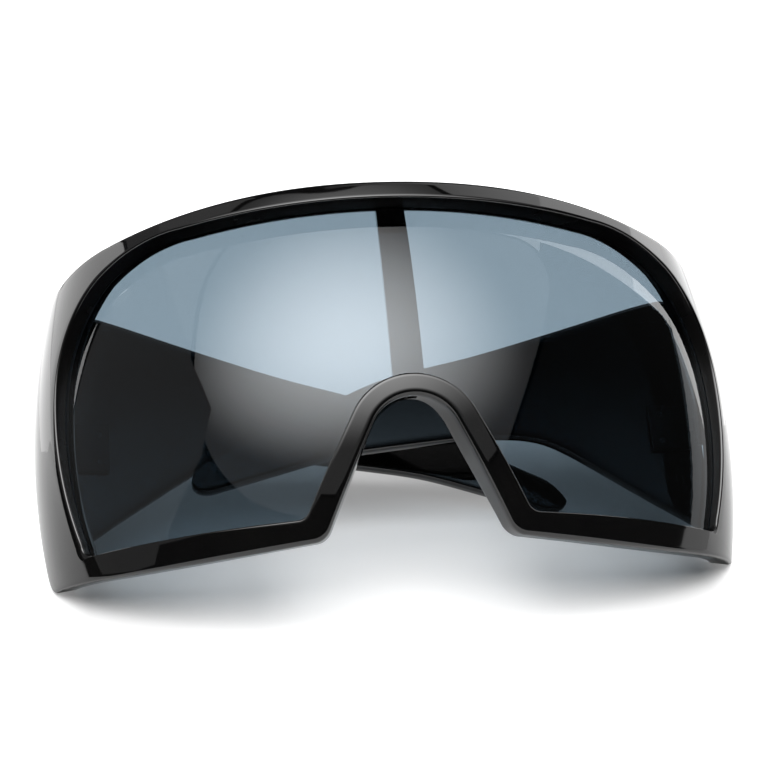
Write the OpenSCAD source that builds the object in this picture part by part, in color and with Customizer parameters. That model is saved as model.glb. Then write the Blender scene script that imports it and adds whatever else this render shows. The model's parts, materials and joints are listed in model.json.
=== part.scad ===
// Oversized one-lens shield sunglasses, folded, resting on the two lower ends of
// the front and on the tip of the left temple. X runs to the right of someone who
// faces the front, Y runs back, Z up. The front is drawn upright and leaned at the end.

/* [Front curve] */
// Radius of the broad curve of the front, seen from above
front_r = 112; // [104:1:120]
// Angle from the middle at which the tighter end curve starts
turn_from = 36; // [33:1:38]
// Radius of the end curve that turns towards the temples
turn_r = 32; // [30:1:36]
// Radius of the up and down crown of the face
crown_r = 160; // [150:5:220]
// Height of the middle of the crown above the datum
crown_z = 4; // [2:0.5:6]
// How far behind the bridge the flat ends of the front lie
end_y = 44; // [42:0.5:45]

/* [Front outline] */
// Height of the top edge above the datum, at the middle
top_z = 49.8; // [46:0.2:52]
// Drop of the top edge from the middle to the ends
top_drop = 14.4; // [12:0.2:16]
// Depth of the lower edge below the datum
low_z = 31.3; // [30:0.1:33]
// Rise of the lower edge from the nose to the ends
low_rise = 1; // [0:0.1:2]
// How far the lower edge bows down between the nose and an end
low_bow = 1.3; // [0.5:0.1:2]
// Radius of the lower end corners
end_corner_r = 5.5; // [3:0.5:6]
// Depth of the top of the nose arch below the datum
arch_top = 2.5; // [2:0.1:3.2]
// Radius of the nose arch
arch_r = 9.8; // [9:0.1:11]
// Angle between a nose leg and the upright
leg_spread = 26.5; // [24:0.5:28]
// Radius of the corner between the nose cut-out and the lower edge
nose_corner_r = 4; // [3:0.5:4.5]

/* [Lens opening] */
// Width of the rim above the opening at the middle
rim_top_w = 4.8; // [4:0.2:6]
// Fall of the opening's top edge from the middle to its corners
open_fall = 1.9; // [1:0.1:2.4]
// Width of the rim beside the opening, along the face to its end
rim_side_w = 15.64; // [14:0.02:17]
// Radius of the upper corners of the opening
open_corner_r = 32.2; // [30:0.2:34]
// Radius of the lower part of the opening's sides
open_side_r = 110; // [90:2:120]
// Width of the rim below the opening, at the nose
rim_low_w = 4.7; // [4:0.1:5.4]
// Radius of the lower outer corners of the opening
open_low_r = 3; // [2:0.5:4]
// Width of the bridge and of the upper end of a nose leg
bridge_w = 4.7; // [4.4:0.1:5.2]
// Angle by which a nose leg widens towards its foot
leg_flare = 1.5; // [0:0.5:3]

/* [Rim section] */
// Depth of the lens behind the face at the top of the opening
recess_top = 5.4; // [4.6:0.2:6.2]
// Depth of the lens behind the face at the bottom of the opening
recess_low = 3; // [2.8:0.1:3.6]
// Thickness of the ledge behind the lens
ledge_t = 1; // [0.8:0.1:1.6]
// Depth of the groove that grips the edge of the lens
groove_d = 1.2; // [1:0.1:1.4]
// Radius on the outer edge of the face
face_edge_r = 1; // [0.6:0.1:1.2]
// Radius on the lip round the opening
lip_r = 0.5; // [0.3:0.1:0.6]
// Radius on the rear outer edge
back_edge_r = 1.1; // [0.8:0.1:1.3]
// Extra depth of the moulded nose pads
pad_d = 3.8; // [3:0.2:5]
// Width of the rib behind the middle of the lens
rib_w = 7; // [6:0.2:8]
// Thickness of that rib
rib_t = 2.6; // [2:0.1:3]

/* [Lens] */
// Thickness of the lens
lens_t = 2; // [1.8:0.1:2.4]
// Gap left all round the lens in its groove
lens_gap = 0.12; // [0.1:0.02:0.2]

/* [Temples] */
// Length of a temple from its hinge axis to its tip
temple_len = 118; // [112:1:122]
// Thickness of a temple
temple_t = 3.2; // [2.8:0.1:3.6]
// Radius of the inward bow of a temple, seen from above
temple_bow_r = 600; // [520:10:800]
// Rise of the temple's top edge above the end of the front
temple_rise = 1.2; // [0.8:0.1:1.6]
// Distance from the hinge at which the top edge starts to fall
shoulder_at = 7.5; // [6:0.5:12]
// Height of the underside of the temple's arm
arm_low = 4.2; // [3:0.2:6]
// Distance from the hinge at which the arm starts
arm_from = 37; // [32:0.5:40]
// Distance from the hinge at which the temple bends down
bend_at = 74; // [70:0.5:78]
// Radius on the edges of a temple
temple_edge_r = 1; // [0.6:0.1:1.3]
// Radius of the rounded tip
tip_r = 5; // [4:0.5:6]
// How far the end of the temple runs past the hinge axis
heel = 1.2; // [1:0.1:1.3]
// Distance from the hinge axis to the temple's inner face
temple_off = 2.2; // [2.1:0.05:2.4]

/* [Hinges] */
// Distance of a hinge axis inwards from the end of the front
hinge_inset = 5.25; // [4.8:0.05:5.6]
// Height of the middle of a hinge above the datum
hinge_z = 5; // [3:0.5:7]
// Diameter of the hinge knuckles
knuckle_d = 3.2; // [3:0.1:3.4]
// Height of one hinge knuckle
knuckle_h = 2.6; // [2.4:0.1:2.8]
// Gap between neighbouring knuckles
knuckle_gap = 0.1; // [0.08:0.01:0.12]
// Diameter of the hinge screw
screw_d = 1.4; // [1.2:0.05:1.4]
// Diameter of the head of the hinge screw
screw_head_d = 2.4; // [2.2:0.1:2.6]
// Thickness of the head of the hinge screw
screw_head_t = 0.7; // [0.6:0.05:0.8]
// Radial running gap of the hinge on its screw
screw_fit = 0.04; // [0.03:0.01:0.06]
// Thickness of the hinge leaves
leaf_t = 1.1; // [1:0.05:1.2]
// Height of the hinge leaves
leaf_h = 11; // [10.6:0.2:12]
// Length of the temple leaf from the hinge axis
temple_leaf_l = 12; // [11:0.5:14]
// Diameter of the rivets that hold the leaves
rivet_d = 1.2; // [1:0.1:1.3]
// Distance between the two rivets of a leaf
rivet_pitch = 6.4; // [6:0.2:7]
// Length of a rivet in the plastic
rivet_l = 2.2; // [2:0.1:2.3]

/* [Pose] */
// Angle by which the front leans back as it lies
lean = 42.5; // [40:0.5:46]
// Angle by which the left temple stands off, outside the right one
left_open = 11.25; // [8:0.05:12]

/* [Hidden] */
// How far a cut runs past what it cuts
over = 0.5;
// Small gap between pieces that are seated on each other
seat_gap = 0.05;
// Steps along each stretch of one half of the rim, from the top to the bridge
top_steps = 14;
corner_steps = 14;
side_steps = 7;
low_corner_steps = 3;
low_steps = 10;
nose_corner_steps = 3;
leg_steps = 5;
arch_steps = 8;
half_steps = top_steps + corner_steps + side_steps + low_corner_steps + low_steps
    + nose_corner_steps + leg_steps + arch_steps;
lens_rows = 6;
temple_steps = 28;
tip_steps = 4;
// Turn of the tip's rounding that is drawn, short of a point
tip_turn = 78;
// Share of its half height that the edge of the tip may round
tip_edge_share = 0.8;
temple_rows = 6;
knuckle_sides = 48;
screw_sides = 32;
rivet_sides = 24;
// Share of a radius that its middle point keeps from the corner
bevel_share = 0.29;
// Power by which the top edge falls towards the ends
top_power = 2.55;
// Share of the half width at which the top edge leaves the straight
shoulder_share = 0.5;
// Slopes of the temple's edges, and the widths over which they change
top_slope = 0.29;
top_ease = 0.06;
bend_slope = 0.27;
heel_slope = 0.7;
arm_slope = 0.13;
tip_slope = 0.2;
ease_from_share = 0.45;
arm_slope_share = 0.45;
tip_slope_share = 0.72;
bend_share = 0.026;
// Slope by which the underside of the rim is drawn in towards the back
low_draft = 0.155;
deg = PI / 180;

turn_s = front_r * turn_from * deg;
turn_x = (front_r - turn_r) * sin(turn_from);
turn_y = front_r - (front_r - turn_r) * cos(turn_from);

function lerp(a, b, t) = a + (b - a) * t;
function sag(z) = crown_r - sqrt(crown_r * crown_r - (z - crown_z) * (z - crown_z));

// Point on the wrapped front: s along the face, z up, d behind the face
function on_front(s, z, d) =
    let (t = sag(z) + d, q = abs(s))
    q <= turn_s
        ? let (a = s / front_r / deg) [(front_r - t) * sin(a), front_r - (front_r - t) * cos(a), z]
        : let (a = turn_from + (q - turn_s) / turn_r / deg)
            [sign(s) * (turn_x + (turn_r - t) * sin(a)), turn_y - (turn_r - t) * cos(a), z];

// Where the flat end of the front cuts the surface that lies d behind the face
function end_s(z, d) =
    turn_s + (acos((turn_y - end_y) / (turn_r - sag(z) - d)) - turn_from) * deg * turn_r;

// Point k of count on an arc from angle a to angle b
function arc_point(c, r, a, b, k, count) =
    let (g = lerp(a, b, k / count)) [c[0] + r * cos(g), c[1] + r * sin(g)];

open_top = top_z - rim_top_w;
open_low = low_z - rim_low_w;
open_half = end_s(0, 0) - rim_side_w;
bridge_top = bridge_w - arch_top;
arch_z = -arch_top - arch_r;
open_arch_r = arch_r + bridge_w;
open_leg_a = leg_spread + leg_flare;

// Half width at height z of a nose leg that leans by a and runs into an arch of radius r
function leg_x(r, a, z) = r * cos(a) + tan(a) * (arch_z + r * sin(a) - z);
// Centre of the corner of radius c at the foot of that leg, on an edge at depth low
function foot_at(r, a, c, low) = [leg_x(r, a, c - low) + c / cos(a), c - low];
nose_foot = foot_at(arch_r, leg_spread, nose_corner_r, low_z);
open_foot = foot_at(open_arch_r, open_leg_a, open_low_r, open_low);

shoulder_s = end_s(0, 0) * shoulder_share;
open_shoulder = open_half - open_corner_r;
open_corner_z = open_top - open_fall - open_corner_r;
// Lowest point of the curved side of the opening
side_turn = asin((open_corner_z + open_low - open_low_r) / open_side_r);
side_end = [open_half - open_side_r * (1 - cos(side_turn)), -(open_low - open_low_r)];

// Point k on a nose leg, from its foot corner up to its arch
function leg_point(foot, c, r, a, k) =
    [lerp(foot[0] - c * cos(a), r * cos(a), k / leg_steps),
        lerp(foot[1] - c * sin(a), arch_z + r * sin(a), k / leg_steps)];

function top_edge(s) = top_z - top_drop * pow(abs(s) / end_s(0, 0), top_power);

// Right half of the lens opening, from the middle of the top to the middle of the bridge
opening_half = [
    for (k = [0 : top_steps - 1]) let (t = k / top_steps)
        [open_shoulder * t, open_top - open_fall * t * t],
    for (k = [0 : corner_steps - 1])
        arc_point([open_shoulder, open_corner_z], open_corner_r, 90, 0, k, corner_steps),
    for (k = [0 : side_steps - 1])
        arc_point([open_half - open_side_r, open_corner_z], open_side_r, 0, -side_turn, k, side_steps),
    for (k = [0 : low_corner_steps - 1])
        arc_point([side_end[0] - open_low_r, side_end[1]], open_low_r, 0, -90, k, low_corner_steps),
    for (k = [0 : low_steps - 1])
        [lerp(side_end[0] - open_low_r, open_foot[0], k / low_steps), -open_low],
    for (k = [0 : nose_corner_steps - 1])
        arc_point(open_foot, open_low_r, 270, 180 + open_leg_a, k, nose_corner_steps),
    for (k = [0 : leg_steps - 1]) leg_point(open_foot, open_low_r, open_arch_r, open_leg_a, k),
    for (k = [0 : arch_steps]) arc_point([0, arch_z], open_arch_r, open_leg_a, 90, k, arch_steps)
];

// The outer edge beside each of those points, at depth d
function outer_point(k, d) =
    let (k1 = top_steps, k2 = k1 + corner_steps, k3 = k2 + side_steps, k4 = k3 + low_corner_steps,
        k5 = k4 + low_steps, k6 = k5 + nose_corner_steps, k7 = k6 + leg_steps,
        crest = top_edge(end_s(0, 0)), drawn_in = low_draft * d, end_foot = low_rise - low_z + drawn_in,
        foot = end_foot + end_corner_r)
    k < k1 ? let (s = shoulder_s * k / top_steps) [s, top_edge(s)]
    : k < k2 ? let (t = (k - k1) / corner_steps, s = lerp(shoulder_s, end_s(crest, 0), t))
        [lerp(shoulder_s, end_s(crest, d), t), top_edge(s)]
    : k < k3 ? let (z = lerp(crest, foot, (k - k2) / side_steps)) [end_s(z, d), z]
    : k < k4 ? let (g = 90 * (k - k3) / low_corner_steps)
        [end_s(foot, d) - end_corner_r * (1 - cos(g)), foot - end_corner_r * sin(g)]
    : k < k5 ? let (t = (k - k4) / low_steps)
        [lerp(end_s(foot, d) - end_corner_r, nose_foot[0], t),
            drawn_in - low_z + low_rise * (1 - t) * (1 - t) - 4 * low_bow * t * (1 - t)]
    : [0, drawn_in] + (
        k < k6 ? arc_point(nose_foot, nose_corner_r, 270, 180 + leg_spread, k - k5, nose_corner_steps)
        : k < k7 ? leg_point(nose_foot, nose_corner_r, arch_r, leg_spread, k - k6)
        : arc_point([0, arch_z], arch_r, leg_spread, 90, k - k7, arch_steps));

function recess(z) = lerp(recess_low, recess_top, (z + open_low) / (open_top + open_low));
function lens_back(z) = recess(z) + lens_t + lens_gap;
// The nose pads swell out of the back of the two nose legs
function pad(k) =
    let (t = (k - (half_steps - arch_steps - leg_steps - nose_corner_steps))
        / (arch_steps + leg_steps + nose_corner_steps))
    t <= 0 ? 0 : pad_d * pow(sin(180 * t), 2);

// Section of the rim beside opening point k, as distance from the lip and depth
function rim_section(k) =
    let (z = opening_half[k][1], deep = lens_back(z) + ledge_t + pad(k),
        wide = norm(outer_point(k, 0) - opening_half[k]),
        far = norm(outer_point(k, deep) - opening_half[k]),
        front_gap = recess(z) - lens_gap)
    [[lip_r, 0], [lerp(lip_r, wide - face_edge_r, 0.5), 0], [wide - face_edge_r, 0],
        [wide - face_edge_r * bevel_share, face_edge_r * bevel_share], [wide, face_edge_r],
        [far, deep - back_edge_r],
        [far - back_edge_r * bevel_share, deep - back_edge_r * bevel_share],
        [far - back_edge_r, deep], [lip_r, deep], [0, deep - lip_r],
        [0, lens_back(z)], [groove_d, lens_back(z)], [groove_d, front_gap], [0, front_gap],
        [0, lip_r], [lip_r * bevel_share, lip_r * bevel_share]];

function rim_ring(k, side) =
    [for (p = rim_section(k))
        let (a = opening_half[k], b = outer_point(k, p[1]), q = a + (b - a) * p[0] / norm(b - a))
        on_front(side * q[0], q[1], p[1])];

// A skin over rings of points: closed into a loop, or capped at both ends
module loft(rings, closed) {
    n = len(rings);
    m = len(rings[0]);
    spans = closed ? n : n - 1;
    skin = [for (i = [0 : spans - 1], j = [0 : m - 1])
        let (a = i * m + j, b = i * m + (j + 1) % m, c = ((i + 1) % n) * m + (j + 1) % m,
            d = ((i + 1) % n) * m + j)
        each [[a, c, b], [a, d, c]]];
    first_cap = [for (j = [1 : m / 2 - 1]) each [[j - 1, j, m - 1 - j], [j - 1, m - 1 - j, m - j]]];
    last_cap = [for (f = first_cap) [for (v = [2, 1, 0]) f[v] + (n - 1) * m]];
    polyhedron([for (r = rings) each r], closed ? skin : concat(skin, first_cap, last_cap));
}

hinge_x = on_front(end_s(hinge_z, 0), hinge_z, 0)[0] - hinge_inset;
hinge_y = end_y + knuckle_d / 2 + seat_gap * 2;
leaf_low = hinge_z - leaf_h / 2;
stack_h = 3 * knuckle_h + 2 * knuckle_gap;
stack_low = hinge_z - stack_h / 2;
front_rivet_x = hinge_x + knuckle_d / 2 + seat_gap * 2 + rivet_d / 2;
front_leaf_w = front_rivet_x - hinge_x + knuckle_d / 2 + rivet_d;
temple_rivet_x = temple_leaf_l - rivet_d * 2;

function bow(d) = d <= temple_leaf_l ? 0 : pow(d - temple_leaf_l, 2) / (2 * temple_bow_r);
function ease(x, w) = w * ln(1 + exp(x / w));
ease_w = temple_len * bend_share;
temple_top = top_z - top_drop + temple_rise;

function temple_high(d) = temple_top - top_slope * ease(d - shoulder_at, ease_w)
    + top_ease * ease(d - temple_len * ease_from_share, ease_w)
    - bend_slope * ease(d - bend_at, ease_w);
function temple_low(d) = arm_low - heel_slope * ease(arm_from - d, ease_w)
    - arm_slope * ease(d - temple_len * arm_slope_share, ease_w)
    - tip_slope * ease(d - temple_len * tip_slope_share, ease_w);

// The temple leaf clears the crowned inner face, with the flats between its rows
row_h = (temple_high(0) - temple_low(0)) / temple_rows;
leaf_back = temple_off - sag(hinge_z + leaf_h / 2) - row_h * row_h / (8 * crown_r) - seat_gap;

// Section of the temple at distance d from the axis, squeezed to a share of its height
function temple_ring(d, share) =
    let (mid = (temple_high(d) + temple_low(d)) / 2,
        half = (temple_high(d) - temple_low(d)) / 2 * share,
        e = min(temple_edge_r, half * tip_edge_share), b = e * bevel_share,
        hi = mid + half, lo = mid - half,
        inner = concat([[hi, e], [hi - b, b]],
            [for (r = [0 : temple_rows]) [lerp(hi - e, lo + e, r / temple_rows), 0]],
            [[lo + b, b], [lo, e]]))
    [for (p = concat([for (q = inner) [q[0], temple_t - q[1]]],
            [for (i = [len(inner) - 1 : -1 : 0]) inner[i]]))
        [-d, temple_off - bow(d) - sag(p[0]) + p[1], p[0]]];

temple_straight = temple_len - tip_r;
temple_rings = concat(
    [for (k = [0 : temple_steps]) temple_ring(lerp(-heel, temple_straight, k / temple_steps), 1)],
    [for (k = [1 : tip_steps]) let (g = tip_turn * k / tip_steps)
        temple_ring(temple_straight + tip_r * sin(g), cos(g))]);

// What touches the floor: the front and the left temple, once they are leaned back
function leaned(p) = [p[0], p[1] * cos(lean) + p[2] * sin(lean), p[2] * cos(lean) - p[1] * sin(lean)];
lying_points = [for (p = concat(
    [for (k = [0 : half_steps]) each rim_ring(k, 1)],
    [for (ring = temple_rings) each [for (p = ring)
        [0, hinge_y + p[1] * cos(left_open) - p[0] * sin(left_open), p[2]]]])) leaned(p)];
rest_z = -min([for (p = lying_points) p[2]]);
mid_y = (min([for (p = lying_points) p[1]]) + max([for (p = lying_points) p[1]])) / 2;

// Everything is drawn upright and then leaned back to rest on the floor
module lying() {
    translate([0, -mid_y, rest_z]) rotate([-lean, 0, 0]) children();
}

module rim() {
    rings = concat([for (k = [0 : half_steps]) rim_ring(k, -1)],
        [for (k = [half_steps - 1 : -1 : 1]) rim_ring(k, 1)]);
    loft(rings, true);
}

// Upright rib behind the lens, from the top of the rim down to the bridge
module rib() {
    low = bridge_top - groove_d;
    high = open_top + groove_d;
    rings = [for (k = [0 : lens_rows])
        let (z = lerp(low, high, k / lens_rows), d = lens_back(z) + lens_gap)
        [on_front(-rib_w / 2, z, d), on_front(0, z, d), on_front(rib_w / 2, z, d),
            on_front(rib_w / 2, z, d + rib_t), on_front(0, z, d + rib_t),
            on_front(-rib_w / 2, z, d + rib_t)]];
    loft(rings, false);
}

module mirrored(side) {
    if (side < 0) mirror([1, 0, 0]) children();
    else children();
}

// Pocket for the front leaf and its two rivet bores, in the flat end of the front
module end_pocket() {
    translate([hinge_x - knuckle_d / 2 - seat_gap, end_y - leaf_t, leaf_low - seat_gap])
        cube([front_leaf_w + 2 * seat_gap, leaf_t + over, leaf_h + 2 * seat_gap]);
    for (z = [-1, 1])
        translate([front_rivet_x, end_y - leaf_t + over, hinge_z + z * rivet_pitch / 2])
            rotate([90, 0, 0]) cylinder(d = rivet_d, h = rivet_l + over, $fn = rivet_sides);
}

module front_frame() {
    color("#0b0b0d") lying() difference() {
        union() {
            rim();
            rib();
        }
        for (side = [1, -1]) mirrored(side) end_pocket();
    }
}

// The lens follows the opening, pushed out into its groove all round
function lens_edge(k) =
    let (a = opening_half[k], b = outer_point(k, recess(a[1])))
    a + (b - a) * (groove_d - lens_gap) / norm(b - a);

module shield_lens() {
    rungs = half_steps / 2;
    function rung(k) = [lens_edge(k), lens_edge(half_steps - k)];
    function lens_ring(k, side) =
        let (e = rung(k), rows = [for (r = [0 : lens_rows]) lerp(e[0], e[1], r / lens_rows)])
        concat([for (p = rows) on_front(side * p[0], p[1], recess(p[1]))],
            [for (r = [lens_rows : -1 : 0]) let (p = rows[r])
                on_front(side * p[0], p[1], recess(p[1]) + lens_t)]);
    color("#5b6a74", 0.75) lying()
        loft(concat([for (k = [rungs - 1 : -1 : 0]) lens_ring(k, -1)],
            [for (k = [1 : rungs - 1]) lens_ring(k, 1)]), false);
}

// What belongs to a temple turns about its hinge axis
module on_hinge(side) {
    mirrored(side) translate([hinge_x, hinge_y, 0])
        rotate([0, 0, side < 0 ? -left_open : 0]) children();
}

module temple_bores(length) {
    for (z = [-1, 1])
        translate([-temple_rivet_x, leaf_back - leaf_t - over, hinge_z + z * rivet_pitch / 2])
            rotate([-90, 0, 0])
                cylinder(d = rivet_d + 2 * seat_gap, h = leaf_t + length + over, $fn = rivet_sides);
}

module temple(side) {
    color("#0b0b0d") lying() on_hinge(side) difference() {
        loft(temple_rings, false);
        temple_bores(rivet_l + seat_gap);
    }
}

module knuckle(k) {
    translate([0, 0, stack_low + k * (knuckle_h + knuckle_gap)])
        cylinder(d = knuckle_d, h = knuckle_h, $fn = knuckle_sides);
}

module screw_bore() {
    translate([0, 0, stack_low - over])
        cylinder(d = screw_d + 2 * screw_fit, h = stack_h + 2 * over, $fn = screw_sides);
}

// Leaf let into the end of the front, with the upper and the lower knuckle
module front_hinge(side) {
    color("#b9bbbf") lying() mirrored(side) difference() {
        union() {
            translate([hinge_x - knuckle_d / 2, end_y - leaf_t + seat_gap, leaf_low])
                cube([front_leaf_w, leaf_t - seat_gap, leaf_h]);
            for (k = [0, 2]) translate([hinge_x, hinge_y, 0]) {
                knuckle(k);
                translate([-knuckle_d / 2, -hinge_y + end_y - seat_gap,
                        stack_low + k * (knuckle_h + knuckle_gap)])
                    cube([knuckle_d, hinge_y - end_y + seat_gap, knuckle_h]);
            }
        }
        translate([hinge_x, hinge_y, 0]) screw_bore();
        for (z = [-1, 1])
            translate([front_rivet_x, end_y + over, hinge_z + z * rivet_pitch / 2])
                rotate([90, 0, 0])
                    cylinder(d = rivet_d + 2 * seat_gap, h = leaf_t + 2 * over, $fn = rivet_sides);
    }
}

// Leaf on the inner face of the temple, with the middle knuckle
module temple_hinge(side) {
    color("#b9bbbf") lying() on_hinge(side) difference() {
        union() {
            translate([-temple_leaf_l, leaf_back - leaf_t, leaf_low])
                cube([temple_leaf_l - knuckle_d / 2 - knuckle_gap, leaf_t, leaf_h]);
            knuckle(1);
            translate([-knuckle_d / 2 - leaf_t, 0, stack_low + knuckle_h + knuckle_gap])
                cube([knuckle_d / 2 + leaf_t, leaf_back, knuckle_h]);
        }
        screw_bore();
        temple_bores(over);
    }
}

// Slotted screw that pins the knuckles together
module hinge_screw(side) {
    color("#c9cbce") lying() mirrored(side) translate([hinge_x, hinge_y, stack_low]) difference() {
        union() {
            cylinder(d = screw_d, h = stack_h + screw_head_t / 2, $fn = screw_sides);
            translate([0, 0, stack_h + seat_gap])
                cylinder(d = screw_head_d, h = screw_head_t, $fn = screw_sides);
        }
        translate([-screw_head_d / 2 - over, -screw_head_t / 4, stack_h + screw_head_t / 2 + seat_gap])
            cube([screw_head_d + 2 * over, screw_head_t / 2, screw_head_t + over]);
    }
}

module front_rivets(side) {
    color("#c9cbce") lying() mirrored(side) for (z = [-1, 1])
        translate([front_rivet_x, end_y, hinge_z + z * rivet_pitch / 2])
            rotate([90, 0, 0]) cylinder(d = rivet_d, h = leaf_t + rivet_l - seat_gap, $fn = rivet_sides);
}

module temple_rivets(side) {
    color("#c9cbce") lying() on_hinge(side) for (z = [-1, 1])
        translate([-temple_rivet_x, leaf_back - leaf_t, hinge_z + z * rivet_pitch / 2])
            rotate([-90, 0, 0]) cylinder(d = rivet_d, h = leaf_t + rivet_l, $fn = rivet_sides);
}

module right_front_hinge() { front_hinge(1); }
module left_front_hinge() { front_hinge(-1); }
module right_front_rivets() { front_rivets(1); }
module left_front_rivets() { front_rivets(-1); }
module right_hinge_screw() { hinge_screw(1); }
module left_hinge_screw() { hinge_screw(-1); }
module right_temple_hinge() { temple_hinge(1); }
module left_temple_hinge() { temple_hinge(-1); }
module right_temple_rivets() { temple_rivets(1); }
module left_temple_rivets() { temple_rivets(-1); }
module right_temple() { temple(1); }
module left_temple() { temple(-1); }

front_frame();
shield_lens();
right_front_hinge();
left_front_hinge();
right_front_rivets();
left_front_rivets();
right_hinge_screw();
left_hinge_screw();
right_temple_hinge();
left_temple_hinge();
right_temple_rivets();
left_temple_rivets();
right_temple();
left_temple();
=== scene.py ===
import json
import math

import bpy
import numpy as np
from mathutils import Matrix


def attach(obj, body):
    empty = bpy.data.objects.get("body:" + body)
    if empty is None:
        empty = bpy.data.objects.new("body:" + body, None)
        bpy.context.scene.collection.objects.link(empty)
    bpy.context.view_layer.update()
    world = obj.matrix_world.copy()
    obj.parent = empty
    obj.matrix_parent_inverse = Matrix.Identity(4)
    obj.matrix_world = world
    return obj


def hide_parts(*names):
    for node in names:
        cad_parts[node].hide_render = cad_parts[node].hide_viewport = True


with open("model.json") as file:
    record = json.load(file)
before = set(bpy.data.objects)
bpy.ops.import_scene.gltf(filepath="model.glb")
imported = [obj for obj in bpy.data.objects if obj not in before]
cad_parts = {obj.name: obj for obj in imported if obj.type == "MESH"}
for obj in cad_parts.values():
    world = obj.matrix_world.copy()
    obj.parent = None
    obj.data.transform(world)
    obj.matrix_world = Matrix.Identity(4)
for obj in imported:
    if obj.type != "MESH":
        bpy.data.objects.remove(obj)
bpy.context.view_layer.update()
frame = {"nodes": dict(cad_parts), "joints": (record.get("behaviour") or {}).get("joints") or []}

# ---------------------------------------------------------------------------
# Front. One injection moulding in gloss black: a deep rim round the lens, a nose
# arch whose legs swell into pads at the back, and an upright rib behind the lens.
# It is drawn upright in millimetres, as it sits on a face, and then leaned back.
LEAN = math.radians(42.5)
FACE_R, FACE_TURN, END_R, END_Y = 112.0, math.radians(36), 32.0, 44.0
CROWN_R, CROWN_Z = 160.0, 4.0
TURN_S = FACE_R * FACE_TURN
TURN_X = (FACE_R - END_R) * math.sin(FACE_TURN)
TURN_Y = FACE_R - (FACE_R - END_R) * math.cos(FACE_TURN)
HINGE = np.array([73.6013, 45.7, 5.0])
hinge_at = np.array(frame["joints"][0]["pos_m"])


def laid_down(points):
    """Upright millimetres to the place where the sunglasses lie, in metres."""
    p = np.asarray(points, float).reshape(-1, 3)

    def lean_back(q):
        return np.stack([q[:, 0], q[:, 1] * math.cos(LEAN) + q[:, 2] * math.sin(LEAN),
                         q[:, 2] * math.cos(LEAN) - q[:, 1] * math.sin(LEAN)], 1) * 0.001

    left_hinge = lean_back((HINGE * [-1, 1, 1])[None])[0]
    return lean_back(p) + (hinge_at - left_hinge)


def sag(z):
    """How far the crowned face falls back at the height z."""
    return CROWN_R - np.sqrt(CROWN_R ** 2 - (z - CROWN_Z) ** 2)


def on_front(s, z, d):
    """Point on the wrapped face: s along it, z up it, d behind it."""
    s, z, d = np.broadcast_arrays(np.asarray(s, float), z, d)
    t = sag(z) + d
    q = np.abs(s)
    a = np.where(q <= TURN_S, s / FACE_R, 0)
    b = FACE_TURN + np.maximum(q - TURN_S, 0) / END_R
    mid = q <= TURN_S
    x = np.where(mid, (FACE_R - t) * np.sin(a), np.sign(s) * (TURN_X + (END_R - t) * np.sin(b)))
    y = np.where(mid, FACE_R - (FACE_R - t) * np.cos(a), TURN_Y - (END_R - t) * np.cos(b))
    return np.stack([x, y, z], -1)


def end_s(z, d):
    """Where the flat end of the front cuts the surface d behind the face."""
    return TURN_S + (np.arccos((TURN_Y - END_Y) / (END_R - sag(z) - d)) - FACE_TURN) * END_R


TOP_Z, TOP_DROP, TOP_POWER, SHOULDER = 49.8, 14.4, 2.55, 0.5
LOW_Z, LOW_RISE, LOW_BOW, LOW_DRAFT, END_CORNER = 31.3, 1.0, 1.3, 0.155, 5.5
ARCH_R, LEG_SPREAD, NOSE_CORNER = 9.8, math.radians(26.5), 4.0
OPEN_TOP, OPEN_FALL, OPEN_HALF, OPEN_CORNER = 45.0, 1.9, 81.6, 32.2
OPEN_SIDE_R, OPEN_LOW, OPEN_LOW_R = 110.0, 26.6, 3.0
OPEN_ARCH_R, OPEN_SPREAD, ARCH_Z = 14.5, math.radians(28), -12.3
RECESS_TOP, RECESS_LOW, RECESS_EASE = 5.4, 3.0, 1.3
LENS_T, LENS_GAP, LEDGE, GROOVE, PAD_SWELL = 2.0, 0.12, 1.0, 1.2, 3.8
# Steps along each stretch of half the rim: top, corner, side, low corner, low
# edge, nose corner, nose leg and arch
STEPS = [30, 40, 20, 8, 26, 8, 14, 22]
ENDS = np.cumsum(STEPS)


def arc(centre, r, a, b, t):
    """Points at the shares t of an arc that runs from a to b degrees."""
    g = np.radians(a + (b - a) * t)
    return np.stack([centre[0] + r * np.cos(g), centre[1] + r * np.sin(g)], -1)


def line(a, b, t):
    a, b = np.array(a, float), np.array(b, float)
    return a + (b - a) * t[:, None]


def foot_at(r, lean_out, c, low):
    """Centre of the corner of radius c at the foot of a nose leg."""
    half = r * math.cos(lean_out) + math.tan(lean_out) * (ARCH_Z + r * math.sin(lean_out) - c + low)
    return half + c / math.cos(lean_out), c - low


def nose_line(r, lean_out, c, low, t):
    """Foot corner, leg and arch of one side of the nose, for the shares t of each."""
    foot = foot_at(r, lean_out, c, low)
    a = (foot[0] - c * math.cos(lean_out), foot[1] - c * math.sin(lean_out))
    b = (r * math.cos(lean_out), ARCH_Z + r * math.sin(lean_out))
    tilt = math.degrees(lean_out)
    return np.concatenate([arc(foot, c, 270, 180 + tilt, t[0]), line(a, b, t[1]),
                           arc((0, ARCH_Z), r, tilt, 90, t[2])])


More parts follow.
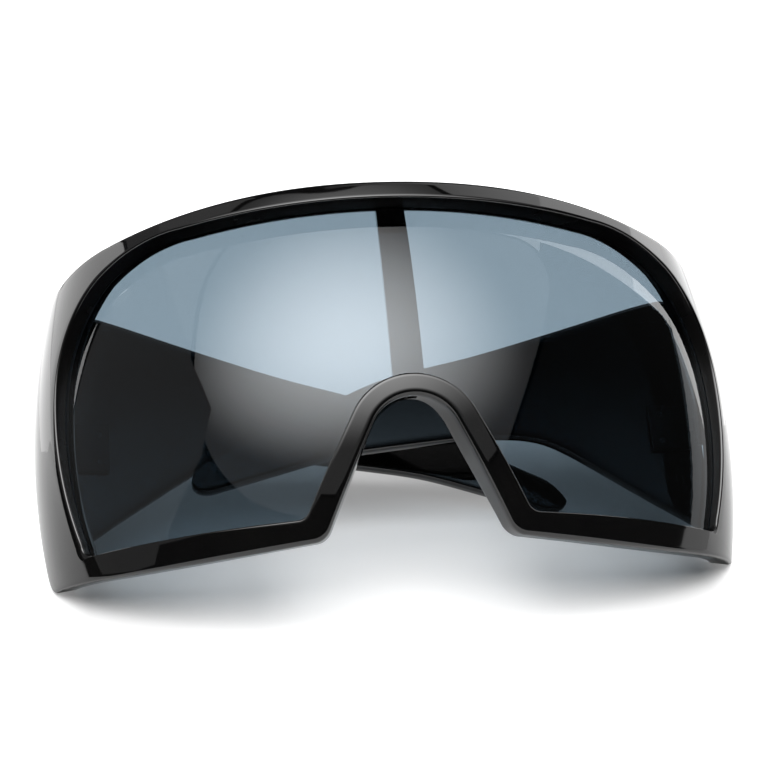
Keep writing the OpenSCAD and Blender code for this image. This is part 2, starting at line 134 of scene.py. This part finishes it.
def opening():
    """Right half of the lens opening, from the middle of the top to the bridge."""
    t = [np.arange(n) / n for n in STEPS]
    t[-1] = np.arange(STEPS[-1] + 1) / STEPS[-1]
    shoulder, corner_z = OPEN_HALF - OPEN_CORNER, OPEN_TOP - OPEN_FALL - OPEN_CORNER
    turn = math.asin((corner_z + OPEN_LOW - OPEN_LOW_R) / OPEN_SIDE_R)
    foot_x, foot_z = OPEN_HALF - OPEN_SIDE_R * (1 - math.cos(turn)), OPEN_LOW_R - OPEN_LOW
    inner_x = foot_at(OPEN_ARCH_R, OPEN_SPREAD, OPEN_LOW_R, OPEN_LOW)[0]
    return np.concatenate([
        np.stack([shoulder * t[0], OPEN_TOP - OPEN_FALL * t[0] ** 2], -1),
        arc((shoulder, corner_z), OPEN_CORNER, 90, 0, t[1]),
        arc((OPEN_HALF - OPEN_SIDE_R, corner_z), OPEN_SIDE_R, 0, -math.degrees(turn), t[2]),
        arc((foot_x - OPEN_LOW_R, foot_z), OPEN_LOW_R, 0, -90, t[3]),
        line((foot_x - OPEN_LOW_R, -OPEN_LOW), (inner_x, -OPEN_LOW), t[4]),
        nose_line(OPEN_ARCH_R, OPEN_SPREAD, OPEN_LOW_R, OPEN_LOW, t[5:])])


def top_edge(s):
    return TOP_Z - TOP_DROP * (np.abs(s) / end_s(0.0, 0.0)) ** TOP_POWER


def outer_edge(d):
    """The outer edge beside each point of the opening, for a depth d at each."""
    shoulder = end_s(0.0, 0.0) * SHOULDER
    crest = top_edge(end_s(0.0, 0.0))
    parts = np.split(d, ENDS[:-1])
    t = [np.arange(len(p)) / n for p, n in zip(parts, STEPS)]
    low = [LOW_DRAFT * p - LOW_Z for p in parts]
    foot = [v + LOW_RISE + END_CORNER for v in low]
    s1 = shoulder + (end_s(crest, 0.0) - shoulder) * t[1]
    z2 = crest + (foot[2] - crest) * t[2]
    g3 = np.radians(90 * t[3])
    start4 = end_s(foot[4], parts[4]) - END_CORNER
    nose_x = foot_at(ARCH_R, LEG_SPREAD, NOSE_CORNER, LOW_Z)[0]
    nose = nose_line(ARCH_R, LEG_SPREAD, NOSE_CORNER, LOW_Z, t[5:])
    nose[:, 1] += LOW_DRAFT * np.concatenate(parts[5:])
    return np.concatenate([
        np.stack([shoulder * t[0], top_edge(shoulder * t[0])], -1),
        np.stack([shoulder + (end_s(crest, parts[1]) - shoulder) * t[1], top_edge(s1)], -1),
        np.stack([end_s(z2, parts[2]), z2], -1),
        np.stack([end_s(foot[3], parts[3]) - END_CORNER * (1 - np.cos(g3)),
                  foot[3] - END_CORNER * np.sin(g3)], -1),
        np.stack([start4 + (nose_x - start4) * t[4],
                  low[4] + LOW_RISE * (1 - t[4]) ** 2 - 4 * LOW_BOW * t[4] * (1 - t[4])], -1),
        nose])


def recess(q):
    """Depth of the lens below the lip at the points q: less towards the ends."""
    deep = RECESS_LOW + (RECESS_TOP - RECESS_LOW) * (q[..., 1] + OPEN_LOW) / (OPEN_TOP + OPEN_LOW)
    return deep - RECESS_EASE * np.clip(np.abs(q[..., 0]) / OPEN_HALF, 0, 1) ** 3


EDGE = opening()
COUNT = len(EDGE)
nose_share = np.clip((np.arange(COUNT) - ENDS[4]) / (COUNT - 1 - ENDS[4]), 0, 1)
PAD = PAD_SWELL * np.sin(np.pi * nose_share) ** 2


def beside_lip(u, d):
    """Points u outwards from the lip and d behind the face, one for each ring."""
    way = outer_edge(d) - EDGE
    return EDGE + way * (u / np.linalg.norm(way, axis=1))[:, None]


def quarter(steps):
    """Sine and cosine through a quarter turn."""
    return [(math.sin(g), math.cos(g)) for g in np.linspace(0, math.pi / 2, steps + 1)]


def rim_rows():
    """The section of the rim, round from the lip: outwards and depth at each ring."""
    lip, edge, back = 0.55, 1.0, 1.1
    deep = recess(EDGE) + LENS_T + LENS_GAP + LEDGE + PAD
    wide = np.linalg.norm(outer_edge(np.zeros(COUNT)) - EDGE, axis=1)
    far = np.linalg.norm(outer_edge(deep) - EDGE, axis=1)
    one = np.ones(COUNT)
    rows = [(lip * (1 - c) * one, lip * (1 - s) * one) for s, c in quarter(4)]
    rows += [(lip + (wide - edge - lip) * k / 8, 0 * one) for k in range(1, 8)]
    rows += [(wide - edge * (1 - s), edge * (1 - c) * one) for s, c in quarter(6)]
    rows += [(wide + (far - wide) * k / 4, edge + (deep - back - edge) * k / 4) for k in range(1, 4)]
    rows += [(far - back * (1 - c), deep - back * (1 - s)) for s, c in quarter(6)]
    rows += [(far - back + (lip - far + back) * k / 4, deep) for k in range(1, 4)]
    rows += [(lip * (1 - s) * one, deep - lip * (1 - c)) for s, c in quarter(3)]
    groove_back, groove_front = recess(EDGE) + LENS_T + LENS_GAP, recess(EDGE) - LENS_GAP
    rows += [(0 * one, groove_back), (GROOVE * one, groove_back), (GROOVE * one, groove_front),
             (0 * one, groove_front), (0 * one, (groove_front + lip) / 2)]
    return rows


def skin(name, rings, closed):
    """A mesh over rings of points, closed into a loop or capped at both ends."""
    n, m = rings.shape[:2]
    verts = rings.reshape(-1, 3)
    faces = []
    for i in range(n if closed else n - 1):
        for j in range(m):
            faces.append((i * m + j, (i + 1) % n * m + j, (i + 1) % n * m + (j + 1) % m,
                          i * m + (j + 1) % m))
    sides = len(faces)
    if not closed:
        faces.append(tuple(range(m)))
        faces.append(tuple((n - 1) * m + j for j in reversed(range(m))))
    volume = sum(np.dot(verts[f[0]], np.cross(verts[f[1]], verts[f[2]])
                        + np.cross(verts[f[2]], verts[f[3]])) for f in faces[:sides])
    if volume < 0:
        faces = [f[::-1] for f in faces]
    mesh = bpy.data.meshes.new(name)
    mesh.from_pydata(laid_down(verts).tolist(), [], faces)
    mesh.update()
    piece = bpy.data.objects.new(name, mesh)
    bpy.context.scene.collection.objects.link(piece)
    return piece


def finish_mesh(piece, angle=32):
    """Smooth shading, with edges sharper than the angle left crisp."""
    mesh = piece.data
    mesh.polygons.foreach_set("use_smooth", [True] * len(mesh.polygons))
    mesh.set_sharp_from_angle(angle=math.radians(angle))
    mesh.update()


half = np.stack([on_front(q[:, 0], q[:, 1], d) for q, d in
                 [(beside_lip(u, d), d) for u, d in rim_rows()]], 1)
rim_rings = np.concatenate([half * [-1, 1, 1], half[-2:0:-1]])
front = skin("moulded_front", rim_rings, True)
# The wall of the recess, the last rows of each ring, is left satin from the mould,
# and its weaker reflection is painted shade in the recess
ROWS, WALL_ROWS = rim_rings.shape[1], 4
for number, polygon in enumerate(front.data.polygons):
    if number % ROWS >= ROWS - WALL_ROWS:
        polygon.material_index = 1

gloss_black = bpy.data.materials.new("gloss_black_plastic")
satin_black_painted_shade = bpy.data.materials.new("satin_black_plastic_painted_shade")
front.data.materials.append(gloss_black)
front.data.materials.append(satin_black_painted_shade)

rib_z = np.linspace(ARCH_Z + OPEN_ARCH_R - GROOVE, OPEN_TOP + GROOVE, 30)
rib_d = recess(np.stack([0 * rib_z, rib_z], 1)) + LENS_T + 2 * LENS_GAP
rib_section = [(-3.5, 0), (-1.7, 0), (0, 0), (1.7, 0), (3.5, 0), (3.5, 1.9), (3.2, 2.4), (2.7, 2.6),
               (0, 2.6), (-2.7, 2.6), (-3.2, 2.4), (-3.5, 1.9)]
rib = skin("rib", np.stack([on_front(s, rib_z, rib_d + d) for s, d in rib_section], 1), False)


def cut(piece, cutter, operation):
    """Join the cutter to the piece, or take it out of it, and remove the cutter."""
    mod = piece.modifiers.new("cut", "BOOLEAN")
    mod.operation, mod.solver, mod.object = operation, "EXACT", cutter
    bpy.context.view_layer.objects.active = piece
    bpy.ops.object.modifier_apply(modifier=mod.name)
    bpy.data.objects.remove(cutter)


cut(front, rib, "UNION")
# Each end has a shallow pocket that the leaf of its hinge lies in
POCKET = np.array([[71.95, 42.9, -0.55], [77.05, 44.5, 10.55]])
pocket_ends = np.array([[POCKET[[i, j, k], [0, 1, 2]] for i, j in ((0, 0), (1, 0), (1, 1), (0, 1))]
                        for k in (0, 1)])
for side in (-1, 1):
    corners = pocket_ends * [side, 1, 1]
    cut(front, skin("pocket", corners if side < 0 else corners[::-1], False), "DIFFERENCE")
finish_mesh(front)


def noise(nodes, links, scale, detail=2, stretch=None):
    """Noise fixed to the piece, scale to the metre or stretched by axis."""
    spots = nodes.new("ShaderNodeTexNoise")
    spots.inputs["Scale"].default_value, spots.inputs["Detail"].default_value = scale, detail
    place = nodes.new("ShaderNodeTexCoord").outputs["Object"]
    if stretch:
        axes = nodes.new("ShaderNodeMapping")
        axes.inputs["Scale"].default_value = stretch
        links.new(place, axes.inputs["Vector"])
        place = axes.outputs["Vector"]
    links.new(place, spots.inputs["Vector"])
    return spots.outputs["Fac"]


def between(nodes, links, value, start=(0.0, 1.0), result=(0.0, 1.0), eased=False):
    """Map a value that runs over start onto result, eased at both ends if wanted."""
    step = nodes.new("ShaderNodeMapRange")
    if eased:
        step.interpolation_type = "SMOOTHSTEP"
    step.inputs["From Min"].default_value, step.inputs["From Max"].default_value = start
    step.inputs["To Min"].default_value, step.inputs["To Max"].default_value = result
    links.new(value, step.inputs["Value"])
    return step.outputs["Result"]


def tint(nodes, links, value, dark, light, start=(0.0, 1.0)):
    """A colour that goes from dark to light with the value."""
    ramp = nodes.new("ShaderNodeValToRGB")
    for stop, position, colour in zip(ramp.color_ramp.elements, start, (dark, light)):
        stop.position, stop.color = position, colour + (1,)
    links.new(value, ramp.inputs["Fac"])
    return ramp.outputs["Color"]


def relief(nodes, links, height, strength, distance):
    bump = nodes.new("ShaderNodeBump")
    bump.inputs["Strength"].default_value, bump.inputs["Distance"].default_value = strength, distance
    links.new(height, bump.inputs["Height"])
    return bump.outputs["Normal"]


def shading(material):
    """The nodes, links and main shader of a new material."""
    material.use_nodes = True
    tree = material.node_tree
    return tree.nodes, tree.links, tree.nodes["Principled BSDF"]


def effect(name, inputs, outputs):
    """A new node group with named sockets, and the sockets at its two ends."""
    group = bpy.data.node_groups.new(name, "ShaderNodeTree")
    for way, sockets in (("INPUT", inputs), ("OUTPUT", outputs)):
        for label, kind in sockets.items():
            group.interface.new_socket(label, in_out=way, socket_type="NodeSocket" + kind)
    given, out = group.nodes.new("NodeGroupInput"), group.nodes.new("NodeGroupOutput")
    return group, given.outputs, out.inputs


def spread(nodes, links, given, value, start=(0.0, 1.0)):
    """A roughness that goes from the group's Smooth to its Rough with the value."""
    gloss = between(nodes, links, value, start)
    links.new(given["Smooth"], gloss.node.inputs["To Min"])
    links.new(given["Rough"], gloss.node.inputs["To Max"])
    return gloss


def placed(nodes, group, values):
    """The outputs of an effect in one material, with that material's own values."""
    surface = nodes.new("ShaderNodeGroup")
    surface.node_tree = group
    for label, value in values.items():
        surface.inputs[label].default_value = value
    return surface.outputs


def moulded_skin():
    """Uneven black, gloss and orange peel of a moulded plastic skin."""
    group, given, out = effect("moulded_skin", {"Smooth": "Float", "Rough": "Float"},
                               {"Color": "Color", "Roughness": "Float", "Peel": "Float"})
    nodes, links = group.nodes, group.links
    links.new(tint(nodes, links, noise(nodes, links, 60, 4), (0.0012, 0.0012, 0.0014),
                   (0.0026, 0.0025, 0.0024), (0.3, 0.7)), out["Color"])
    links.new(spread(nodes, links, given, noise(nodes, links, 25, 6), (0.35, 0.75)), out["Roughness"])
    links.new(noise(nodes, links, 260, 1), out["Peel"])
    return group


skin_group = moulded_skin()
# The satin wall's low IOR weakens its reflection: painted shade in the recess
for plastic, ior, smooth, rough in ((gloss_black, 1.6, 0.02, 0.06), (satin_black_painted_shade, 1.25, 0.22, 0.34)):
    nodes, links, shader = shading(plastic)
    shader.inputs["IOR"].default_value = ior
    surface = placed(nodes, skin_group, {"Smooth": smooth, "Rough": rough})
    links.new(surface["Color"], shader.inputs["Base Color"])
    links.new(surface["Roughness"], shader.inputs["Roughness"])
    links.new(relief(nodes, links, surface["Peel"], 0.1, 0.00001), shader.inputs["Normal"])

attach(front, "front")
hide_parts("front_frame")

# ---------------------------------------------------------------------------
# Lens. One thick sheet of smoke-blue plastic, formed to the same curves as the
# front, polished, and sprung into the groove all round the opening.
LENS_ROWS = 24
SMOKE, SMOKE_SHADOW, LENS_IOR = (0.119, 0.161, 0.195, 1), (0.4, 0.43, 0.45, 1), 1.52


def lens_edges():
    """The upper and the lower edge of the lens, point for point, from left to right."""
    way = outer_edge(recess(EDGE)) - EDGE
    rim = EDGE + way * ((GROOVE - LENS_GAP) / np.linalg.norm(way, axis=1))[:, None]
    n = (COUNT - 1) // 2
    a, b = rim[1:n], rim[COUNT - 2:COUNT - 1 - n:-1]
    upper_edge = np.concatenate([(a * [-1, 1])[::-1], rim[:1], a])
    lower_edge = np.concatenate([(b * [-1, 1])[::-1], rim[-1:], b])
    return upper_edge, lower_edge


upper_edge, lower_edge = lens_edges()
down = (np.arange(LENS_ROWS + 1) / LENS_ROWS)[None, :, None]
sheet = upper_edge[:, None] * (1 - down) + lower_edge[:, None] * down
outside = on_front(sheet[..., 0], sheet[..., 1], recess(sheet))
inside = on_front(sheet[..., 0], sheet[..., 1], recess(sheet) + LENS_T)
lens = skin("shield", np.concatenate([outside, inside[:, ::-1]], 1), False)
finish_mesh(lens, 40)
# The narrow faces round the edge are ground, not polished, and near-black: painted shade on the edge
for number, polygon in enumerate(lens.data.polygons):
    if len(polygon.vertices) > 4 or number % (2 * LENS_ROWS + 2) in (LENS_ROWS, 2 * LENS_ROWS + 1):
        polygon.material_index = 1

smoke = bpy.data.materials.new("smoke_lens")
nodes, links, shader = shading(smoke)
shader.inputs["Base Color"].default_value = SMOKE
shader.inputs["Transmission Weight"].default_value = 1
shader.inputs["IOR"].default_value = LENS_IOR
links.new(between(nodes, links, noise(nodes, links, 35, 5), (0.5, 0.8), (0.0, 0.006)),
          shader.inputs["Roughness"])
passing = nodes.new("ShaderNodeBsdfTransparent")
passing.inputs["Color"].default_value = SMOKE_SHADOW
light_or_sight = nodes.new("ShaderNodeMixShader")
links.new(nodes.new("ShaderNodeLightPath").outputs["Is Shadow Ray"], light_or_sight.inputs["Fac"])
links.new(shader.outputs["BSDF"], light_or_sight.inputs[1])
links.new(passing.outputs["BSDF"], light_or_sight.inputs[2])
links.new(light_or_sight.outputs["Shader"], nodes["Material Output"].inputs["Surface"])

# Rough like a ground edge, and near-black as painted shade
ground_edge_painted_shade = bpy.data.materials.new("ground_lens_edge_painted_shade")
nodes, links, shader = shading(ground_edge_painted_shade)
grit = noise(nodes, links, 3000)
links.new(tint(nodes, links, grit, (0.004, 0.005, 0.006), (0.01, 0.012, 0.014)), shader.inputs["Base Color"])
links.new(between(nodes, links, grit, result=(0.6, 0.8)), shader.inputs["Roughness"])

lens.data.materials.append(smoke)
lens.data.materials.append(ground_edge_painted_shade)
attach(lens, "front")
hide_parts("shield_lens")

# ---------------------------------------------------------------------------
# Temples. Each is one broad black moulding that follows the crown of the front,
# thins to an arm and ends in a rounded, slightly dropped tip. The left one lies
# folded outside the right one, and so stands further off the front.
TEMPLE_L, TEMPLE_T, BOW_R, STRAIGHT, TIP_R, HEEL, OFF = 118.0, 3.2, 600.0, 12, 5.0, 1.2, 2.2
EASE = TEMPLE_L * 0.026
ROOT_TOP, TOP_BENDS = 36.6, ((7.5, -0.29), (0.45 * TEMPLE_L, 0.06), (74, -0.27))
ARM_LOW, LOW_BENDS = 4.2, ((0.45 * TEMPLE_L, -0.13), (0.72 * TEMPLE_L, -0.2))
HEEL_FROM, HEEL_SLOPE = 37, 0.7
LEFT_STAND_OFF = math.radians(11.25)


def ease(x):
    """A soft corner: nothing before it, a slope of 1 after it."""
    return EASE * np.log1p(np.exp(np.minimum(x / EASE, 60)))


def temple_rings():
    """Rings along the right temple, from its heel to its tip, at its hinge."""
    straight, along = TEMPLE_L - TIP_R, 150
    turn = np.radians(np.linspace(0, 86, 14))[1:]
    d = np.concatenate([np.linspace(-HEEL, straight, along), straight + TIP_R * np.sin(turn)])
    share = np.concatenate([np.ones(along), np.cos(turn)])
    upper = ROOT_TOP + sum(slope * ease(d - at) for at, slope in TOP_BENDS)
    lower = ARM_LOW - HEEL_SLOPE * ease(HEEL_FROM - d) + sum(slope * ease(d - at) for at, slope in LOW_BENDS)
    mid, tall = (upper + lower) / 2, (upper - lower) / 2 * share
    e = np.minimum(1.0, tall * 0.8)
    rows = [(mid + tall - e * (1 - c), e * (1 - s)) for s, c in quarter(5)]
    rows += [(mid + (tall - e) * (1 - 2 * k / 14), 0 * d) for k in range(1, 14)]
    rows += [(mid - tall + e * (1 - s), e * (1 - c)) for s, c in quarter(5)]
    rows += [(z, TEMPLE_T - y) for z, y in reversed(rows)]
    bow = np.where(d > STRAIGHT, (d - STRAIGHT) ** 2 / (2 * BOW_R), 0)
    return np.stack([np.stack([-d, OFF - bow - sag(z) + y, z], -1) for z, y in rows], 1)


rings = temple_rings()
for side, name, stand_off in ((1, "right_temple", 0.0), (-1, "left_temple", LEFT_STAND_OFF)):
    turned = np.stack([rings[..., 0] * math.cos(stand_off) + rings[..., 1] * math.sin(stand_off),
                       rings[..., 1] * math.cos(stand_off) - rings[..., 0] * math.sin(stand_off),
                       rings[..., 2]], -1) + [HINGE[0], HINGE[1], 0]
    arm = skin(name + "_arm", (turned * [side, 1, 1]) if side < 0 else turned[::-1], False)
    finish_mesh(arm, 40)
    arm.data.materials.append(gloss_black)
    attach(arm, name)
    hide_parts(name)

# ---------------------------------------------------------------------------
# Hinges. Stamped steel leaves with rolled knuckles, let into the ends of the
# front and riveted to the temples, each pinned by a slotted screw. They are the
# CAD pieces with their own blackened steel.
GRAIN_AXES, DARK_GRAIN = (400, 400, 3000), 0.8


def rolled_grain():
    """Grain along the height of blackened steel, in its colour and gloss."""
    group, given, out = effect("rolled_grain", {"Steel": "Color", "Smooth": "Float", "Rough": "Float"},
                               {"Color": "Color", "Roughness": "Float", "Grain": "Float"})
    nodes, links = group.nodes, group.links
    grain = noise(nodes, links, 1, 5, GRAIN_AXES)
    darkened = nodes.new("ShaderNodeVectorMath")
    darkened.operation = "SCALE"
    links.new(given["Steel"], darkened.inputs[0])
    links.new(between(nodes, links, grain, result=(DARK_GRAIN, 1.0)), darkened.inputs["Scale"])
    links.new(darkened.outputs["Vector"], out["Color"])
    links.new(spread(nodes, links, given, grain), out["Roughness"])
    links.new(grain, out["Grain"])
    return group


grain_group = rolled_grain()
for slot_name, base, (smooth, rough), kinds in (
        ("hinge_steel", (0.035, 0.035, 0.037, 1), (0.25, 0.42), ("hinge",)),
        ("fastener_steel", (0.07, 0.07, 0.072, 1), (0.2, 0.35), ("rivets", "screw"))):
    steel = bpy.data.materials.new(slot_name)
    nodes, links, shader = shading(steel)
    shader.inputs["Metallic"].default_value = 1
    surface = placed(nodes, grain_group, {"Steel": base, "Smooth": smooth, "Rough": rough})
    links.new(surface["Color"], shader.inputs["Base Color"])
    links.new(surface["Roughness"], shader.inputs["Roughness"])
    links.new(relief(nodes, links, surface["Grain"], 0.3, 0.00003), shader.inputs["Normal"])
    for node_name, piece in frame["nodes"].items():
        if node_name.split("_")[-1] in kinds:
            piece.data.materials.clear()
            piece.data.materials.append(steel)

# ---------------------------------------------------------------------------
# Studio floor. A sheet of white paper. It is white to the eye, in the gloss and
# through the lens, and keeps its shadow close round the sunglasses.
PAPER, HALF_FLOOR = 0.82, 3
SHADOW_X, SHADOW_Y, SHADOW_AT = 0.1, 0.046, 0.012
floor_mesh = bpy.data.meshes.new("floor")
floor_mesh.from_pydata([(-HALF_FLOOR, -HALF_FLOOR, 0), (HALF_FLOOR, -HALF_FLOOR, 0),
                        (HALF_FLOOR, HALF_FLOOR, 0), (-HALF_FLOOR, HALF_FLOOR, 0)], [], [(0, 1, 2, 3)])
floor = bpy.data.objects.new("floor", floor_mesh)
bpy.context.scene.collection.objects.link(floor)
paper = bpy.data.materials.new("white_paper")
nodes, links, shader = shading(paper)
shader.inputs["Base Color"].default_value = (PAPER, PAPER, PAPER, 1)
shader.inputs["Roughness"].default_value = 1
shader.inputs["Specular IOR Level"].default_value = 0


def combined(nodes, links, operation, a, b=None):
    """One value made of two, such as their product or the greater of them."""
    result = nodes.new("ShaderNodeMath")
    result.operation = operation
    links.new(a, result.inputs[0])
    if b is not None:
        links.new(b, result.inputs[1])
    return result.outputs[0]


def length_of(nodes, links, vector):
    """How far a point lies from the origin."""
    length = nodes.new("ShaderNodeVectorMath")
    length.operation = "LENGTH"
    links.new(vector, length.inputs[0])
    return length.outputs["Value"]


path = nodes.new("ShaderNodeLightPath").outputs
where = nodes.new("ShaderNodeTexCoord").outputs["Object"]
place = nodes.new("ShaderNodeSeparateXYZ")
links.new(where, place.inputs["Vector"])
aside = combined(nodes, links, "ABSOLUTE", place.outputs["X"])
behind = between(nodes, links, place.outputs["Y"], (-0.04, 0.1))
mirrored = combined(nodes, links, "MULTIPLY", path["Is Glossy Ray"], behind)
seen = combined(nodes, links, "MAXIMUM", path["Is Camera Ray"], mirrored)
through = combined(nodes, links, "MAXIMUM", seen, path["Is Transmission Ray"])
# The floor's own glow: white beyond an oval round the sunglasses and beyond their
# ends, dimmer inside it, with a soft, painted pool of light under the nose
oval = nodes.new("ShaderNodeMapping")
oval.inputs["Scale"].default_value = (1 / SHADOW_X, 1 / SHADOW_Y, 1)
oval.inputs["Location"].default_value = (0, -SHADOW_AT / SHADOW_Y, 0)
links.new(where, oval.inputs["Vector"])
away = length_of(nodes, links, oval.outputs["Vector"])
outside_oval = between(nodes, links, away, (0.96, 1.9), eased=True)
past_ends = between(nodes, links, aside, (0.066, 0.086), eased=True)
beyond = combined(nodes, links, "MAXIMUM", outside_oval, past_ends)
# A painted pool of light: the floor glows softly under the nose, in front of the sunglasses
under_middle = between(nodes, links, aside, (0.015, 0.07), (0.28, 0.0), eased=True)
in_front = between(nodes, links, place.outputs["Y"], (0.01, 0.034), (1.0, 0.0), eased=True)
painted_light_pool = combined(nodes, links, "MULTIPLY", under_middle, in_front)
white = combined(nodes, links, "MULTIPLY", through, combined(nodes, links, "MAXIMUM", beyond, painted_light_pool))
shader.inputs["Emission Color"].default_value = (1, 1, 1, 1)
links.new(white, shader.inputs["Emission Strength"])
floor.data.materials.append(paper)

# ---------------------------------------------------------------------------
# Studio lamps. A round softbox in a black frame overhead, dim strips beyond it,
# white boards on the floor and pale walls at both sides and behind. The gloss
# shows these; a plain lamp above and before the sunglasses lights the floor.
ROUNDINGS = 3


def glow_card(name, corners, strength, centre=None, reach=(1, 1), edge=0.0):
    """A flat lamp; with a centre it is round and fades to its edge level at reach."""
    corners = np.array(corners, float)
    if centre:
        for _ in range(ROUNDINGS):
            after = np.roll(corners, -1, 0)
            corners = np.stack([0.75 * corners + 0.25 * after, 0.25 * corners + 0.75 * after], 1)
            corners = corners.reshape(-1, 3)
    mesh = bpy.data.meshes.new(name)
    mesh.from_pydata(corners.tolist(), [], [tuple(range(len(corners)))])
    card = bpy.data.objects.new(name, mesh)
    bpy.context.scene.collection.objects.link(card)
    light = bpy.data.materials.new(name)
    light.use_nodes = True
    nodes, links = light.node_tree.nodes, light.node_tree.links
    nodes.clear()
    out = nodes.new("ShaderNodeOutputMaterial")
    glow = nodes.new("ShaderNodeEmission")
    glow.inputs["Strength"].default_value = strength
    links.new(glow.outputs["Emission"], out.inputs["Surface"])
    if centre:
        spot = nodes.new("ShaderNodeTexCoord").outputs["Object"]
        for operation, value in (("SUBTRACT", centre), ("DIVIDE", (reach[0], reach[1], 1))):
            move = nodes.new("ShaderNodeVectorMath")
            move.operation, move.inputs[1].default_value = operation, value
            links.new(spot, move.inputs[0])
            spot = move.outputs["Vector"]
        links.new(between(nodes, links, length_of(nodes, links, spot), result=(strength, edge), eased=True),
                  glow.inputs["Strength"])
    card.data.materials.append(light)
    card.visible_camera = False
    return card


softbox = [(-0.43, 0.27, 1), (-0.6, 0.17, 1), (-0.72, 0, 1), (-0.84, -0.2, 1), (-0.94, -0.45, 1),
           (-0.95, -0.7, 1), (-0.8, -1.0, 1), (-0.35, -1.15, 1), (0.3, -1.12, 1), (0.66, -0.95, 1),
           (0.72, -0.55, 1), (0.78, -0.2, 1), (0.82, 0.02, 1), (0.84, 0.2, 1), (0.72, 0.3, 1),
           (0.5, 0.22, 1), (0.34, 0.19, 1), (0.17, 0.28, 1), (-0.05, 0.17, 1), (-0.3, 0.26, 1)]
box_frame = [(x * 1.035, (y + 0.25) * 1.035 - 0.25, 1.002) for x, y, _ in softbox]
overhead = glow_card("overhead_lamp", softbox, 7.9, (-0.1, -0.28, 1), (0.88, 0.59), 0.33)
overhead.visible_diffuse = False
glow_card("softbox_frame", box_frame, 0.0, (0, 0, 1)).visible_diffuse = False
glow_card("left_strip", [(-1.2, -0.05, 1.02), (-1.2, 0.55, 1.02), (-0.35, 0.5, 1.02),
                         (-0.35, -0.05, 1.02)], 0.45)
glow_card("back_strip", [(-0.1, 0.0, 1.03), (0.78, 0.0, 1.03), (0.83, 0.75, 1.03), (-0.1, 0.5, 1.03)],
          1.5, (0.75, 0.4, 1.03), (1.0, 0.9), 0.2)
BOARD = ((0.14, 0.08), (0.21, 0.11), (0.3, 0.17), (0.6, 0.3), (0.6, 0.5), (0.14, 0.5))
for name, side in (("left_board", -1), ("right_board", 1)):
    board = glow_card(name, [(x * side, y, 0.001) for x, y in BOARD], 2.8)
    board.visible_diffuse = board.visible_transmission = board.visible_shadow = False
# Cards that stand upright: the wall they stand on, their corners along and up it
# and their level
for name, wall_x, corners, strength in (
        ("left_wall", -0.8, [(0.32, 0), (1.2, 0), (1.2, 0.77), (0.36, 0.77)], 2.4),
        ("left_fill", -0.81, [(-0.45, 0.1), (0.32, 0.1), (0.32, 0.8), (1.2, 0.8), (1.2, 1.6), (-0.1, 1.6),
                              (-0.45, 0.8)], 0.27),
        ("right_wall", 0.8, [(-0.18, 0), (-0.18, 0.08), (-0.11, 0.114), (0.14, 0.25), (0.34, 0.32),
                             (0.34, 0)], 1.0),
        ("right_back_wall", 0.8, [(0.34, 0), (0.34, 0.32), (0.5, 0.37), (1.2, 0.6), (1.2, 0)], 3.2),
        ("right_window", 0.79, [(0.35, 0.5), (0.35, 1.6), (0.9, 1.6), (0.9, 0.5)], 2.2),
        ("right_sill", 0.79, [(0.35, 0.33), (0.35, 0.5), (0.9, 0.5), (0.9, 0.4)], 3.4)):
    glow_card(name, [(wall_x, y, z) for y, z in corners], strength)
glow_card("back_wall", [(-0.8, 1.25, 0), (0.8, 1.25, 0), (0.8, 1.25, 0.7), (-0.8, 1.25, 0.7)], 1.0)
key = glow_card("key_lamp", [(-0.7, -1.15, 0.99), (0.6, -1.15, 0.99), (0.6, -0.1, 0.99),
                             (-0.7, -0.1, 0.99)], 5.4)
key.visible_glossy = key.visible_transmission = key.visible_shadow = False

# The air round the studio: nearly dark, and white where the camera looks past
world = bpy.data.worlds.new("studio")
bpy.context.scene.world = world
world.use_nodes = True
nodes, links = world.node_tree.nodes, world.node_tree.links
air = nodes["Background"]
air.inputs["Color"].default_value = (1, 1, 1, 1)
path = nodes.new("ShaderNodeLightPath").outputs
links.new(between(nodes, links, path["Is Camera Ray"], result=(0.03, 1.0)), air.inputs["Strength"])

# ---------------------------------------------------------------------------
# Camera. It was solved in the upright frame of the front: it looks up at the lens
# from below its middle, which is from above once the front leans back.
AIM, DISTANCE, PIXELS = np.array([-6.06, 0.0, -0.28]), 380.0, 1868.9
SENSOR, PHOTO_WIDTH = 36, 768
azimuth, elevation, roll = math.radians(-8.07), math.radians(-21.19), math.radians(-4.58)
back_dir = np.array([math.sin(azimuth) * math.cos(elevation), -math.cos(azimuth) * math.cos(elevation),
                     math.sin(elevation)])
right_dir = np.cross(-back_dir, [0, 0, 1])
right_dir /= np.linalg.norm(right_dir)
up_dir = np.cross(right_dir, -back_dir)
right_rolled = math.cos(roll) * right_dir + math.sin(roll) * up_dir
up_rolled = math.cos(roll) * up_dir - math.sin(roll) * right_dir
stand = laid_down([AIM + DISTANCE * back_dir])[0]
turn = Matrix.Rotation(-LEAN, 3, "X") @ Matrix(np.stack([right_rolled, up_rolled, back_dir], 1).tolist())
camera = bpy.data.cameras.new("camera")
camera.sensor_width = SENSOR
camera.lens = PIXELS * SENSOR / PHOTO_WIDTH
camera.clip_start = 0.01
camera_object = bpy.data.objects.new("camera", camera)
camera_object.matrix_world = Matrix.Translation(stand) @ turn.to_4x4()
bpy.context.scene.collection.objects.link(camera_object)
bpy.context.scene.camera = camera_object
bpy.context.scene.view_settings.view_transform = "Standard"
